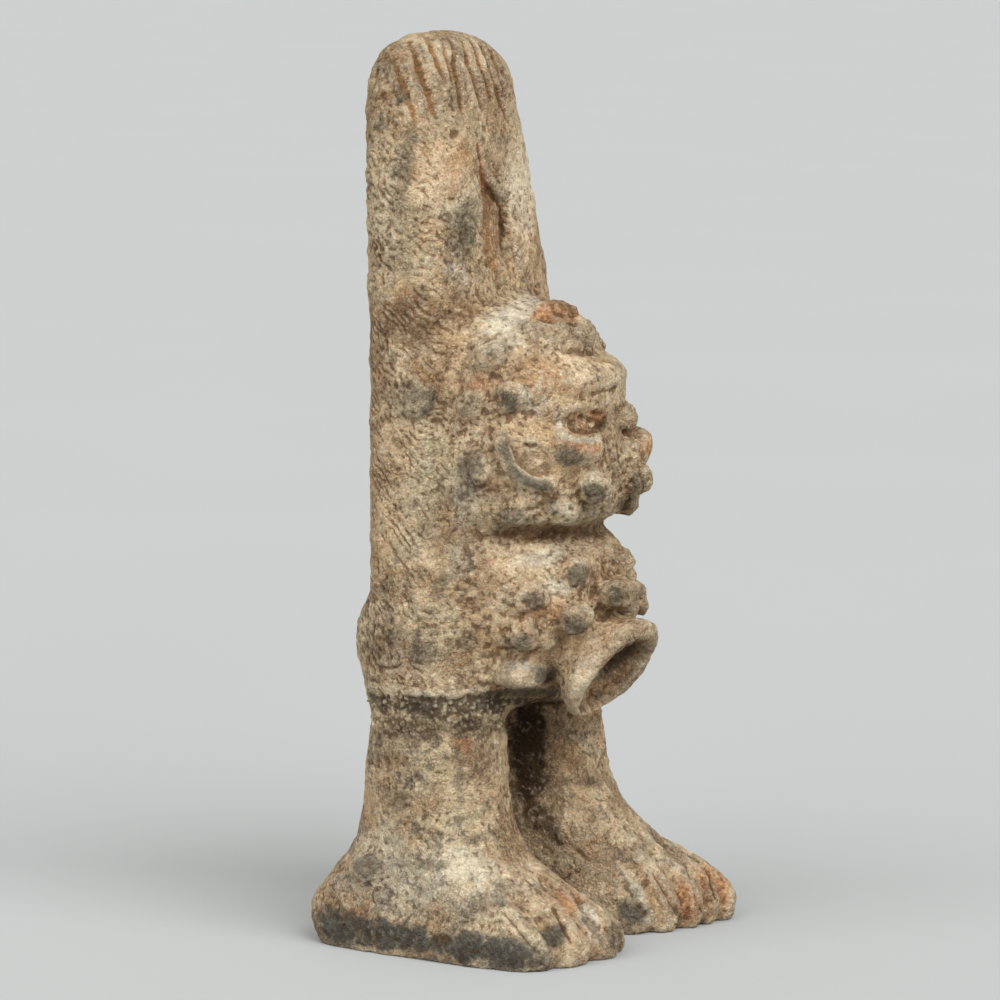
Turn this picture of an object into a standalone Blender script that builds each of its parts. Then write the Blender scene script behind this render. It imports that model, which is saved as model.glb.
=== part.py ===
"""A standing tomb figure of fired clay, modelled and pressed by hand.

A tall flattened pillar stands on two short legs with big bare feet. Its front
carries two pellet-covered masses, the lower one with a flared snout.
Metres, +Z up, the figure faces -Y. The origin is the middle of its box, below.
"""
import bmesh
import bpy
import numpy as np
from math import cos, pi, radians, sin
from mathutils import Matrix, Vector

# Pillar: height, half width, front and back of its section, to the dome's foot
PILLAR = [
    (0.1290, 0.0810, 0.0210, -0.0580),
    (0.1375, 0.0845, 0.0240, -0.0645),
    (0.1900, 0.0800, 0.0170, -0.0610),
    (0.2500, 0.0740, 0.0080, -0.0630),
    (0.3530, 0.0665, -0.0030, -0.0665),
    (0.4015, 0.0630, -0.0115, -0.0690),
    (0.4550, 0.0545, -0.0185, -0.0745),
]
PILLAR_SQUARENESS = 2.6
PILLAR_RINGS = 40
TOP_HEIGHT = 0.4927
DOME_MIDDLE = -0.0515
DOME_RINGS = 16
# How far up the quarter turn of the dome its last ring lies
DOME_CLOSED = 0.994

# Upper mass: height, half width and front of its stepped rolls, from the top
UPPER_MASS = [
    (0.3520, 0.0300, -0.0060),
    (0.3460, 0.0400, 0.0100),
    (0.3390, 0.0470, 0.0330),
    (0.3330, 0.0500, 0.0420),
    (0.3250, 0.0520, 0.0440),
    (0.3205, 0.0535, 0.0430),
    (0.3165, 0.0550, 0.0560),
    (0.3110, 0.0570, 0.0620),
    (0.3060, 0.0570, 0.0620),
    (0.3020, 0.0570, 0.0585),
    (0.2980, 0.0580, 0.0620),
    (0.2920, 0.0580, 0.0610),
    (0.2880, 0.0590, 0.0590),
    (0.2780, 0.0610, 0.0620),
    (0.2600, 0.0620, 0.0640),
    (0.2430, 0.0610, 0.0630),
    (0.2345, 0.0570, 0.0600),
    (0.2275, 0.0500, 0.0440),
    (0.2210, 0.0480, 0.0390),
]

# Lower mass: height, half width and front, from the neck between the masses
LOWER_MASS = [
    (0.2250, 0.0470, 0.0390),
    (0.2200, 0.0530, 0.0550),
    (0.2145, 0.0570, 0.0605),
    (0.2080, 0.0580, 0.0570),
    (0.1950, 0.0590, 0.0610),
    (0.1800, 0.0590, 0.0590),
    (0.1650, 0.0580, 0.0470),
    (0.1500, 0.0570, 0.0370),
    (0.1320, 0.0500, 0.0260),
]
MASS_ROOT = -0.0560
MASS_SQUARENESS = 2.1

# Snout: a flared cup that looks forward, down and a trace to the far side
SNOUT_CENTRE = (0.0005, 0.0672, 0.1492)
SNOUT_DIP = 36.0
SNOUT_TURN = 2.5
SNOUT_RADIUS = 0.0340
SNOUT_LIP = 0.0105
# The hollow lies off its axis, towards the far side and down
SNOUT_HOLLOW_SHIFT = (0.0020, -0.0020)
SNOUT_NECK_RADIUS = 0.0225
SNOUT_FLARE = 0.0040
SNOUT_LENGTH = 0.0480
# Where along it the neck ends, the flare begins and the lip rounds over
SNOUT_NECK_END, SNOUT_FLARE_START, SNOUT_LIP_START = -0.0264, -0.0144, -0.0038
SNOUT_STEPS = 48
SNOUT_CUP_DEPTH = 0.0220
SNOUT_CUP_RADIUS = 0.0110

# Leg and foot: height, half width, front, back and squareness of the section
FOOT = [
    (-0.0060, 0.0405, 0.0720, -0.0760, 5.0),
    (0.0000, 0.0415, 0.0760, -0.0785, 5.0),
    (0.0060, 0.0425, 0.0795, -0.0815, 4.8),
    (0.0120, 0.0425, 0.0785, -0.0850, 4.5),
    (0.0180, 0.0420, 0.0740, -0.0860, 4.2),
    (0.0250, 0.0410, 0.0650, -0.0840, 3.8),
    (0.0320, 0.0395, 0.0550, -0.0800, 3.2),
    (0.0400, 0.0380, 0.0430, -0.0745, 2.8),
    (0.0470, 0.0372, 0.0340, -0.0680, 2.5),
    (0.0580, 0.0365, 0.0260, -0.0630, 2.3),
    (0.0750, 0.0360, 0.0215, -0.0595, 2.2),
    (0.1000, 0.0355, 0.0200, -0.0570, 2.2),
    (0.1120, 0.0355, 0.0195, -0.0565, 2.2),
    (0.1160, 0.0335, 0.0175, -0.0545, 2.2),
    (0.1420, 0.0335, 0.0175, -0.0545, 2.2),
]
FOOT_RINGS = 60
LEG_SPREAD = 0.0470
FOOT_SPREAD = 0.0025
# The foot is whole up to its instep and gone at its top, forward of the heel
INSTEP, FOOT_TOP = 0.0240, 0.0600
HEEL_REACH, TOE_REACH = -0.0200, 0.0600
# Each foot: side, middle of its toes, reach, lift of its toes and their slant
FEET = [
    (-1, -0.0490, 0.004, 1.05, 0.24),
    (1, 0.0580, 0.008, 1.45, 0.30),
]

# Pellets: place on the surface and size, on both sides, then on one side alone
PELLET_RADIUS = 0.0084
PELLET_SINK = 0.0030
PELLETS = [
    (-0.0571, 0.0117, 0.2976, 0.95),
    (-0.0606, 0.0159, 0.2629, 1.10),
    (-0.0196, 0.0671, 0.2522, 1.00),
    (-0.0478, 0.0329, 0.2396, 1.00),
    (-0.0300, 0.0536, 0.2400, 0.95),
    (-0.0204, 0.0560, 0.2067, 0.95),
    (-0.0450, 0.0421, 0.1947, 1.10),
    (-0.0465, 0.0366, 0.1725, 1.05),
    (-0.0375, 0.0445, 0.1719, 0.60),
]
LONE_PELLETS = [
    (-0.0490, 0.0190, 0.3211, 1.00),
    (-0.0510, 0.0330, 0.3010, 1.05),
    (-0.0297, 0.0615, 0.1835, 1.05),
    (0.0297, 0.0615, 0.1875, 1.05),
    (0.0520, 0.0080, 0.3180, 1.00),
    (0.0530, 0.0190, 0.3000, 1.05),
    (0.0000, 0.0660, 0.1920, 1.00),
]

# Bumps of the cheeks, crest stub, side bumps and the swelling at the back
CHEEKS = [(-0.0230, 0.0545, 0.2735), (0.0255, 0.0560, 0.2680)]
CHEEK_RADII = (0.0175, 0.0125, 0.0150)
CREST_STUB = (0.0, 0.0260, 0.3410)
CREST_RADII = (0.0170, 0.0130, 0.0080)
SIDE_BUMP = (-0.0640, -0.0220, 0.2980)
SIDE_BUMP_RADII = (0.0080, 0.0125, 0.0125)
BUTTOCK = (-0.0400, -0.0470, 0.1650)
BUTTOCK_RADII = (0.0330, 0.0205, 0.0330)
FLAT_LUMP = (-0.0450, 0.0330, 0.1510)
FLAT_LUMP_RADII = (0.0165, 0.0125, 0.0080)
ANKLE_PELLET = (-0.0830, -0.0420, 0.0440)

# Ear crescents: middle, radius, thickness and the turns where they start and end
CRESCENT_CENTRE = (-0.0469, 0.0431, 0.2708)
CRESCENT_RADIUS = 0.0140
CRESCENT_THICKNESS = 0.0050
CRESCENT_START, CRESCENT_MIDDLE, CRESCENT_END = 142, 230, 308
CRESCENT_POINTS = 15
CRESCENT_ROUNDING = 3
# How far it opens out and bends back at its ends, and which way it faces
CRESCENT_FLARE = 0.35
CRESCENT_BEND = 8.0
CRESCENT_FACING = 46.0

# Combed grooves over the front of the dome
COMB_COUNT = 9
COMB_FIRST = -0.0400
COMB_PITCH = 0.0095
COMB_BOTTOM, COMB_FULL = 0.4370, 0.4490
COMB_HALF_WIDTH = 0.0030
COMB_DEPTH = 0.0026
# How squarely the surface faces forward where the comb starts to bite, and bites
COMB_GRAZING, COMB_BITING = 0.1, 0.4

# Shallow slot down the front: its sides lean together above and below
SLOT_LEFT, SLOT_RIGHT = -0.0135, 0.0100
SLOT_TOP, SLOT_SHOULDER, SLOT_BOTTOM = 0.4130, 0.3990, 0.3560
SLOT_DEPTH = 0.0070
SLOT_WALL = 0.0030
SLOT_FADE = 0.0220
# How much of the width each side takes up as it leans over
SLOT_LOWER_LEAN, SLOT_UPPER_LEAN = 0.4, 0.8

# Craters where something broke off the cheeks: middle, half size of the
# opening, depth, and how far it faces to its side and up
CRATERS = [(-0.0255, 0.0620, 0.2864), (0.0255, 0.0620, 0.2809)]
CRATER_HALF_WIDTH = 0.0140
CRATER_HALF_HEIGHT = 0.0097
CRATER_DEPTH = 0.0095
CRATER_TURN = 20.0
CRATER_RISE = 34.5

# Grooves between the toes of each foot, across from the middle of its toes
TOE_GROOVES = [(-0.0215, 0.0050, 0.0280), (-0.0275, -0.0095, 0.0055, 0.0185)]
TOE_START, TOE_FULL = 0.0360, 0.0540
TOE_HEIGHT, TOE_TOP = 0.0420, 0.0550
TOE_HALF_WIDTH = 0.0040
TOE_DEPTH = 0.0048

# Working of the clay
CORE_VOXEL = 0.0028
CORE_SMOOTH_PASSES = 9
VOXEL = 0.0021
SMOOTH_PASSES = 3
RING_POINTS = 72
BALL_SEGMENTS, BALL_RINGS = 24, 16
CUT_TOLERANCE = 0.00002
MERGE_DISTANCE = 0.00002
TRIANGLES = 9600


def collection(name):
    made = bpy.data.collections.new(name)
    bpy.context.scene.collection.children.link(made)
    return made


def clay_material():
    material = bpy.data.materials.new("fired clay")
    material.use_nodes = True
    shader = material.node_tree.nodes["Principled BSDF"]
    shader.inputs["Base Color"].default_value = (0.44, 0.33, 0.23, 1.0)
    shader.inputs["Roughness"].default_value = 0.93
    shader.inputs["Metallic"].default_value = 0.0
    return material


def smooth_step(value, low, high):
    t = np.clip((value - low) / (high - low), 0, 1)
    return t * t * (3 - 2 * t)


def section(middle_x, half_width, front, back, height, squareness):
    """One closed ring of the clay, a rounded rectangle seen from above."""
    middle = (front + back) / 2
    half_depth = (front - back) / 2
    power = 2 / squareness
    ring = []
    for step in range(RING_POINTS):
        turn = 2 * pi * step / RING_POINTS
        across, along = cos(turn), sin(turn)
        x = middle_x + half_width * np.sign(across) * abs(across) ** power
        forward = middle + half_depth * np.sign(along) * abs(along) ** power
        ring.append(Vector((x, -forward, height)))
    return ring


def loft(clay, rings):
    """Skin a stack of rings, given from below, and close both ends."""
    rows = [[clay.verts.new(point) for point in ring] for ring in rings]
    count = len(rows[0])
    for lower, upper in zip(rows, rows[1:]):
        for step in range(count):
            after = (step + 1) % count
            clay.faces.new((lower[step], upper[step], upper[after], lower[after]))
    clay.faces.new(rows[0])
    clay.faces.new(list(reversed(rows[-1])))


def ball(clay, centre, radii):
    """A lump of clay: centre is across, forward and up."""
    x, forward, z = centre
    place = Matrix.Translation((x, -forward, z)) @ Matrix.Diagonal((*radii, 1.0))
    bmesh.ops.create_uvsphere(clay, u_segments=BALL_SEGMENTS, v_segments=BALL_RINGS, radius=1.0, matrix=place)


def both_sides(centre):
    x, forward, z = centre
    return (x, forward, z), (-x, forward, z)


def pillar(clay):
    heights, widths, fronts, backs = np.array(PILLAR).T
    rings = []
    for height in np.linspace(heights[0], heights[-1], PILLAR_RINGS):
        rings.append(section(0.0, np.interp(height, heights, widths), np.interp(height, heights, fronts),
                             np.interp(height, heights, backs), height, PILLAR_SQUARENESS))
    # The dome closes as a rounded block, over its own middle
    for rise in np.sin(np.linspace(0.0, DOME_CLOSED * pi / 2, DOME_RINGS))[1:]:
        narrow = (1 - rise ** 2) ** (1 / 3)
        front = DOME_MIDDLE + (fronts[-1] - DOME_MIDDLE) * narrow
        back = DOME_MIDDLE + (backs[-1] - DOME_MIDDLE) * narrow
        height = heights[-1] + (TOP_HEIGHT - heights[-1]) * rise
        rings.append(section(0.0, widths[-1] * narrow, front, back, height, PILLAR_SQUARENESS))
    loft(clay, rings)


def mass(clay, rows):
    """A swelling on the front, rooted inside the pillar."""
    rings = []
    for height, half_width, front in reversed(rows):
        rings.append(section(0.0, half_width, front, MASS_ROOT, height, MASS_SQUARENESS))
    loft(clay, rings)


def leg_and_foot(clay, side, toe_middle, reach, lift, slant):
    """One leg, from the sole up; its toes run out and stand up as told."""
    heights, widths, fronts, backs, squareness = np.array(FOOT).T
    rings = []
    for height in np.linspace(heights[0], heights[-1], FOOT_RINGS):
        front = np.interp(height / lift if height > 0 else height, heights, fronts)
        low = 1 - smooth_step(height, INSTEP, FOOT_TOP)
        ring = section(side * LEG_SPREAD, np.interp(height, heights, widths), front + reach * low,
                       np.interp(height, heights, backs), height, np.interp(height, heights, squareness))
        for point in ring:
            # Towards the toes the foot leaves the leg's axis, and its front slants
            out = smooth_step(-point.y, HEEL_REACH, TOE_REACH) * low
            heel_shift = side * FOOT_SPREAD * low
            point.x += heel_shift + (toe_middle - side * (LEG_SPREAD + FOOT_SPREAD)) * out
            point.y -= slant * (point.x - toe_middle) * out
        rings.append(ring)
    loft(clay, rings)


def snout(clay):
    """The flared cup, turned round its own axis."""
    rim_inner = SNOUT_RADIUS - SNOUT_LIP
    rounding = SNOUT_LIP / 4
    profile = [
        (0.0, -SNOUT_LENGTH),
        (SNOUT_NECK_RADIUS, -SNOUT_LENGTH),
        (SNOUT_NECK_RADIUS, SNOUT_NECK_END),
        (SNOUT_NECK_RADIUS + SNOUT_FLARE, SNOUT_FLARE_START),
        (SNOUT_RADIUS, SNOUT_LIP_START),
        (SNOUT_RADIUS - rounding, 0.0),
        (rim_inner + rounding, 0.0),
        (rim_inner, SNOUT_LIP_START),
        (SNOUT_CUP_RADIUS, -SNOUT_CUP_DEPTH),
        (0.0, -SNOUT_CUP_DEPTH),
    ]
    mesh = bpy.data.meshes.new("snout profile")
    edges = [(k, k + 1) for k in range(len(profile) - 1)]
    mesh.from_pydata([(radius, 0.0, along) for radius, along in profile], edges, [])
    turned = bpy.data.objects.new("snout profile", mesh)
    bpy.context.scene.collection.objects.link(turned)
    screw = turned.modifiers.new("turn", "SCREW")
    screw.axis = "Z"
    screw.steps = screw.render_steps = SNOUT_STEPS
    screw.use_merge_vertices = True
    screw.merge_threshold = MERGE_DISTANCE
    finished = evaluated(turned)
    for vertex in finished.vertices:
        if vertex.co.xy.length < rim_inner + rounding / 2:
            vertex.co.xy += Vector(SNOUT_HOLLOW_SHIFT)
    x, forward, z = SNOUT_CENTRE
    place = Matrix.Translation((x, -forward, z)) @ Matrix.Rotation(radians(SNOUT_TURN), 4, "Z")
    place = place @ Matrix.Rotation(radians(90 + SNOUT_DIP), 4, "X")
    finished.transform(place)
    clay.from_mesh(finished)
    bpy.data.objects.remove(turned)


def crescent(clay, side):
    """A curved ridge, open above, like the rim of an ear."""
    x, forward, z = CRESCENT_CENTRE
    curve = bpy.data.curves.new("crescent", "CURVE")
    curve.dimensions = "3D"
    curve.bevel_depth = CRESCENT_THICKNESS
    curve.bevel_resolution = CRESCENT_ROUNDING
    curve.use_fill_caps = True
    spline = curve.splines.new("POLY")
    spline.points.add(CRESCENT_POINTS - 1)
    turns = np.linspace(CRESCENT_START, CRESCENT_END, CRESCENT_POINTS)
    facing = radians(CRESCENT_FACING)
    for point, turn in zip(spline.points, turns):
        opened = CRESCENT_RADIUS * (1 + CRESCENT_FLARE * radians(turn - CRESCENT_MIDDLE) ** 2 / 2)
        across = opened * cos(radians(turn))
        up = opened * sin(radians(turn))
        # It lies on the near front corner of the mass and bends back with it
        back = CRESCENT_BEND * across ** 2
        out_x = x + sin(facing) * across + cos(facing) * back
        out_forward = forward + cos(facing) * across - sin(facing) * back
        point.co = (-side * out_x, -out_forward, z + up, 1.0)
    tube = bpy.data.objects.new("crescent", curve)
    bpy.context.scene.collection.objects.link(tube)
    mesh = evaluated(tube)
    part = bmesh.new()
    part.from_mesh(mesh)
    bmesh.ops.remove_doubles(part, verts=part.verts, dist=MERGE_DISTANCE)
    bmesh.ops.recalc_face_normals(part, faces=part.faces)
    part.to_mesh(mesh)
    part.free()
    clay.from_mesh(mesh)
    bpy.data.objects.remove(tube)


def evaluated(thing):
    """The mesh that an object's modifiers give."""
    bpy.context.view_layer.update()
    return bpy.data.meshes.new_from_object(thing.evaluated_get(bpy.context.evaluated_depsgraph_get()))


def swellings(clay):
    """Broad lumps that the clay of the body runs into."""
    lumps = (SIDE_BUMP, SIDE_BUMP_RADII), (BUTTOCK, BUTTOCK_RADII), (FLAT_LUMP, FLAT_LUMP_RADII)
    for place, radii in lumps:
        for centre in both_sides(place):
            ball(clay, centre, radii)


def applied_pieces(clay):
    """Pellets and ridges stuck on afterwards."""
    pellets = [(centre, size) for *place, size in PELLETS for centre in both_sides(place)]
    pellets += [(place, size) for *place, size in LONE_PELLETS]
    for (x, forward, z), size in pellets:
        # Each is sunk towards the middle of the mass that it sits on
        sunk = 1 - PELLET_SINK / np.hypot(x, forward)
        ball(clay, (x * sunk, forward * sunk, z), [PELLET_RADIUS * size] * 3)
    ball(clay, ANKLE_PELLET, [PELLET_RADIUS] * 3)
    ball(clay, CREST_STUB, CREST_RADII)
    for centre in CHEEKS:
        ball(clay, centre, CHEEK_RADII)
    for side in (-1, 1):
        crescent(clay, side)
    snout(clay)


def apply_modifiers(figure):
    """Give the object the mesh that its modifiers make, and drop them."""
    mesh = evaluated(figure)
    figure.modifiers.clear()
    figure.data = mesh


def comb(place, normal):
    """Grooves drawn up and over the dome with a comb."""
    x, z, facing = place[:, 0], place[:, 2], -normal[:, 1]
    reach = smooth_step(facing, COMB_GRAZING, COMB_BITING) * smooth_step(z, COMB_BOTTOM, COMB_FULL)
    depth = np.zeros(len(x))
    for groove in range(COMB_COUNT):
        offset = (x - COMB_FIRST - groove * COMB_PITCH) / COMB_HALF_WIDTH
        depth = np.maximum(depth, COMB_DEPTH * np.exp(-offset ** 2) * reach)
    return normal * -depth[:, None]


def slot(place, normal):
    """A slot pressed straight back into the front."""
    x, forward, z = place[:, 0], -place[:, 1], place[:, 2]
    # The right side leans in above the shoulder, the left side below it
    above = np.clip((z - SLOT_SHOULDER) / (SLOT_TOP - SLOT_SHOULDER), 0, 1)
    below = np.clip((SLOT_SHOULDER - z) / (SLOT_SHOULDER - SLOT_BOTTOM), 0, 1)
    width = SLOT_RIGHT - SLOT_LEFT
    left = SLOT_LEFT + SLOT_LOWER_LEAN * width * below ** 2
    right = SLOT_RIGHT - SLOT_UPPER_LEAN * width * above
    # Its floor slopes down from the left and ends in a steep right wall
    inside = smooth_step(x, left, right) * (1 - smooth_step(x, right, right + SLOT_WALL))
    inside *= smooth_step(z, SLOT_BOTTOM, SLOT_BOTTOM + SLOT_FADE)
    inside *= 1 - smooth_step(z, SLOT_TOP, SLOT_TOP + SLOT_WALL)
    inside *= forward > DOME_MIDDLE
    return np.outer(SLOT_DEPTH * inside, (0.0, 1.0, 0.0))


def craters(place, normal):
    """Bowls broken out of the cheeks, open forward and upward."""
    moved = np.zeros(place.shape)
    turn, rise = radians(CRATER_TURN), radians(CRATER_RISE)
    for side, (x, forward, z) in zip((-1, 1), CRATERS):
        opening = np.array((side * sin(turn) * cos(rise), -cos(turn) * cos(rise), sin(rise)))
        across = np.array((cos(turn), side * sin(turn), 0.0))
        up = np.cross(across, opening)
        apart = place - (x, -forward, z)
        outline = (apart @ across / CRATER_HALF_WIDTH) ** 2 + (apart @ up / CRATER_HALF_HEIGHT) ** 2
        floor = -CRATER_DEPTH * np.sqrt(np.clip(1 - outline, 0, 1))
        height = apart @ opening
        inside = (outline < 1) & (height > floor) & (height < CRATER_HALF_WIDTH)
        moved += np.outer(np.where(inside, floor - height, 0), opening)
    return moved


def toes(place, normal):
    """Grooves that part the toes."""
    x, forward, z = place[:, 0], -place[:, 1], place[:, 2]
    depth = np.zeros(len(x))
    on_toes = smooth_step(forward, TOE_START, TOE_FULL) * (1 - smooth_step(z, TOE_HEIGHT, TOE_TOP))
    for (side, toe_middle, *_), grooves in zip(FEET, TOE_GROOVES):
        on_foot = on_toes * (side * x > 0)
        for groove in grooves:
            offset = (x - toe_middle - groove) / TOE_HALF_WIDTH
            depth = np.maximum(depth, TOE_DEPTH * np.exp(-offset ** 2) * on_foot)
    return normal * -depth[:, None]


def press_marks(figure):
    """Press the slot, the comb, the craters and the toes into the surface."""
    mesh = figure.data
    place = np.empty(len(mesh.vertices) * 3)
    normal = np.empty(len(mesh.vertices) * 3)
    mesh.vertices.foreach_get("co", place)
    mesh.vertex_normals.foreach_get("vector", normal)
    place, normal = place.reshape(-1, 3), normal.reshape(-1, 3)
    for mark in (slot, comb, craters, toes):
        place += mark(place, normal)
    mesh.vertices.foreach_set("co", place.ravel())
    mesh.update()


def flat_soles(figure):
    """Cut both feet off level, so that the figure stands on them."""
    solid = bmesh.new()
    solid.from_mesh(figure.data)
    everything = solid.verts[:] + solid.edges[:] + solid.faces[:]
    cut = bmesh.ops.bisect_plane(solid, geom=everything, dist=CUT_TOLERANCE, plane_co=(0, 0, 0),
                                 plane_no=(0, 0, -1), clear_outer=True)
    rim = [part for part in cut["geom_cut"] if isinstance(part, bmesh.types.BMEdge)]
    bmesh.ops.holes_fill(solid, edges=rim, sides=0)
    bmesh.ops.recalc_face_normals(solid, faces=solid.faces)
    bmesh.ops.triangulate(solid, faces=solid.faces)
    for vertex in solid.verts:
        if vertex.co.z < CUT_TOLERANCE:
            vertex.co.z = 0.0
    # The origin goes below the middle of the box
    places = np.array([vertex.co for vertex in solid.verts])
    middle = (places.min(axis=0) + places.max(axis=0)) / 2
    bmesh.ops.translate(solid, verts=solid.verts, vec=(-middle[0], -middle[1], 0))
    solid.to_mesh(figure.data)
    solid.free()


def knead(figure, voxel, passes):
    """Join what overlaps into one body and smooth its joints over."""
    join = figure.modifiers.new("join", "REMESH")
    join.mode = "VOXEL"
    join.voxel_size = voxel
    smear = figure.modifiers.new("smear", "SMOOTH")
    smear.iterations = passes
    apply_modifiers(figure)


def build():
    for thing in list(bpy.data.objects):
        bpy.data.objects.remove(thing)
    figure = bpy.data.objects.new("figure", bpy.data.meshes.new("figure"))
    collection("tomb figure").objects.link(figure)

    clay = bmesh.new()
    pillar(clay)
    mass(clay, UPPER_MASS)
    mass(clay, LOWER_MASS)
    for foot in FEET:
        leg_and_foot(clay, *foot)
    swellings(clay)
    clay.to_mesh(figure.data)
    knead(figure, CORE_VOXEL, CORE_SMOOTH_PASSES)

    clay.clear()
    clay.from_mesh(figure.data)
    applied_pieces(clay)
    clay.to_mesh(figure.data)
    clay.free()
    knead(figure, VOXEL, SMOOTH_PASSES)
    press_marks(figure)

    thin = figure.modifiers.new("fewer faces", "DECIMATE")
    thin.ratio = TRIANGLES / sum(len(face.vertices) - 2 for face in figure.data.polygons)
    apply_modifiers(figure)
    flat_soles(figure)
    figure.data.materials.clear()
    figure.data.materials.append(clay_material())


build()
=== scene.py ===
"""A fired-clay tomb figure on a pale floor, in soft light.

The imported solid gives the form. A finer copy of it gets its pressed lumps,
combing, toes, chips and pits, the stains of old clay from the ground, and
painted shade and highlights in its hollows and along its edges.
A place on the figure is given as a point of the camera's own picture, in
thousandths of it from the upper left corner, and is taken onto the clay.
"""

import bpy
import numpy as np
from math import cos, radians, sin
from mathutils import Matrix, Vector


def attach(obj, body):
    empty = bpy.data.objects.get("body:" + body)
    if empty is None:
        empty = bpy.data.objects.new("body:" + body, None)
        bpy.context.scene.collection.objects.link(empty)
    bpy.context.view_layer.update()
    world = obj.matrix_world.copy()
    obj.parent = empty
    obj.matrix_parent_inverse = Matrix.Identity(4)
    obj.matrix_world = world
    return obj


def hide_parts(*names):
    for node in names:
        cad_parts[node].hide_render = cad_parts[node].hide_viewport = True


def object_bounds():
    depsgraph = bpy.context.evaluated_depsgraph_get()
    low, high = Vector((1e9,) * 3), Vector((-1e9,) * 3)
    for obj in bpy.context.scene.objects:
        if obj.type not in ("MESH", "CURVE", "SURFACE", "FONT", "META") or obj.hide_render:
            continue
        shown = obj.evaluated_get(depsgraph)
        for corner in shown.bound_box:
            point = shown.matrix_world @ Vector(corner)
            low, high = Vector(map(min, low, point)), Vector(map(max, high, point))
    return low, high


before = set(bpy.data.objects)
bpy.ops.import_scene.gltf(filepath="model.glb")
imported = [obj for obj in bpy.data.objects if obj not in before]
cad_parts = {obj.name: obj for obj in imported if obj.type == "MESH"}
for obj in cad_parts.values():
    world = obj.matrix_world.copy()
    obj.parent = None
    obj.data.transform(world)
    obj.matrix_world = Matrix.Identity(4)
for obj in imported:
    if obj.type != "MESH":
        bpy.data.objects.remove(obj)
cad_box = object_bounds()
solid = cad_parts["figure"]

# Camera, at the height and angle of the photograph
EYE = Vector((-2.1004, -1.3581, 0.5650))
AIM = Vector((-0.0076, 0.0095, 0.2385))
LENS = 166.54
SENSOR = 36.0
SIGHT = (AIM - EYE).to_track_quat("-Z", "Y")

# The plane that parts the near side from the far side, and how far forward
# of the origin the pillar's own middle lies
MIDPLANE = -0.0037
MIDDLE_FORWARD = -0.0035

# The voxel that the clay is worked in, and the faces that are left at the end
FINE = 0.0010
TRIANGLES = 196000

# Pellets: point of the picture, radius in millimetres, how flat, on both sides
PELLETS = [
    (491, 357, 8.8, 0.85), (511, 398, 8.2, 0.95), (474, 403, 9.0, 0.70), (477, 469, 9.4, 0.95),
    (593, 487, 8.8, 0.75), (516, 512, 8.8, 0.95), (563, 511, 9.4, 0.90), (579, 571, 8.8, 0.85),
    (533, 596, 9.4, 0.80), (576, 617, 8.0, 0.62), (524, 636, 9.2, 0.95), (546, 638, 7.0, 0.60),
    (616, 593, 9.0, 0.95), (367, 866, 7.6, 0.45),
]
# Lumps that show at the far edge: across, forward and up in metres, radius and how flat
EDGE_LUMPS = [
    (0.0297, 0.0600, 0.1875, 8.2, 0.90),
    (0.0200, 0.0655, 0.1800, 7.5, 0.90),
    (0.0520, 0.0080, 0.3180, 8.0, 0.80),
    (0.0530, 0.0190, 0.3000, 8.4, 0.85),
    (0.0225, 0.0625, 0.2865, 7.6, 0.90),
    (0.0420, 0.0480, 0.2520, 9.0, 1.00),
    (0.0020, 0.0455, 0.3330, 8.8, 0.90),
    (-0.0120, 0.0400, 0.3330, 8.0, 0.70),
]


def along_sight(across, down):
    """The direction from the eye through a point of the picture."""
    spread = SENSOR / LENS
    return SIGHT @ Vector(((across / 1000 - 0.5) * spread, (0.5 - down / 1000) * spread, -1.0))


def seen(places):
    """Where places lie in the picture, and how far off."""
    turn = np.array(SIGHT.to_matrix())
    local = (places - np.array(EYE)) @ turn
    reach = LENS / SENSOR * 1000 / -local[:, 2]
    return 500 + local[:, 0] * reach, 500 - local[:, 1] * reach, -local[:, 2]


def other_side(vectors, plane=MIDPLANE):
    """The same vectors mirrored from the near side to the far one, or back."""
    turned = np.array(vectors, float)
    turned[..., 0] = 2 * plane - turned[..., 0]
    return turned


def smooth_step(value, low, high):
    t = np.clip((value - low) / (high - low), 0, 1)
    return t * t * (3 - 2 * t)


def scramble(key, seed):
    """A fixed but random-looking number from 0 to 1 for each whole number."""
    key = key + seed * 668265263
    for _ in range(2):
        key = ((key ^ (key >> 15)) * 2246822519) & 0xFFFFFFFF
    return (key >> 8 & 0xFFFF) / 65535


CELL_KEY = np.array([73856093, 19349663, 83492791])


def swell(places, size, seed):
    """Smooth random hills and hollows, from about -1 to 1, as wide as size."""
    cell = places / size + seed * 7.31
    corner = np.floor(cell).astype(np.int64)
    part = cell - corner
    fade = part ** 3 * (part * (part * 6 - 15) + 10)
    total = np.zeros(len(places))
    for step in range(8):
        offset = np.array([step & 1, step >> 1 & 1, step >> 2 & 1])
        key = (corner + offset) @ CELL_KEY
        slope = 0.0
        for axis in range(3):
            slope = slope + (2 * scramble(key, seed + 31 * axis) - 1) * (part[:, axis] - offset[axis])
        total += slope * np.prod(np.where(offset == 1, fade, 1 - fade), axis=1)
    return total * 1.6


def rough(places, size, seed, octaves=3):
    """Swells of several sizes, each half as wide as the one before, added up."""
    total = 0.0
    for octave in range(octaves):
        total = total + swell(places, size / 2 ** octave, seed + octave) / 1.6 ** octave
    return total


def grains(places, size, seed):
    """How far each place is from the nearest grain, in grain spacings."""
    cell = places / size
    corner = np.floor(cell).astype(np.int64)
    nearest = np.full(len(places), 9.0)
    for step in range(27):
        offset = np.array([step % 3 - 1, step // 3 % 3 - 1, step // 9 - 1])
        there = corner + offset
        key = there @ CELL_KEY
        apart = 0.0
        for axis in range(3):
            apart = apart + (there[:, axis] + scramble(key, seed + 17 * axis) - cell[:, axis]) ** 2
        nearest = np.minimum(nearest, apart)
    return np.sqrt(nearest)


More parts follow.
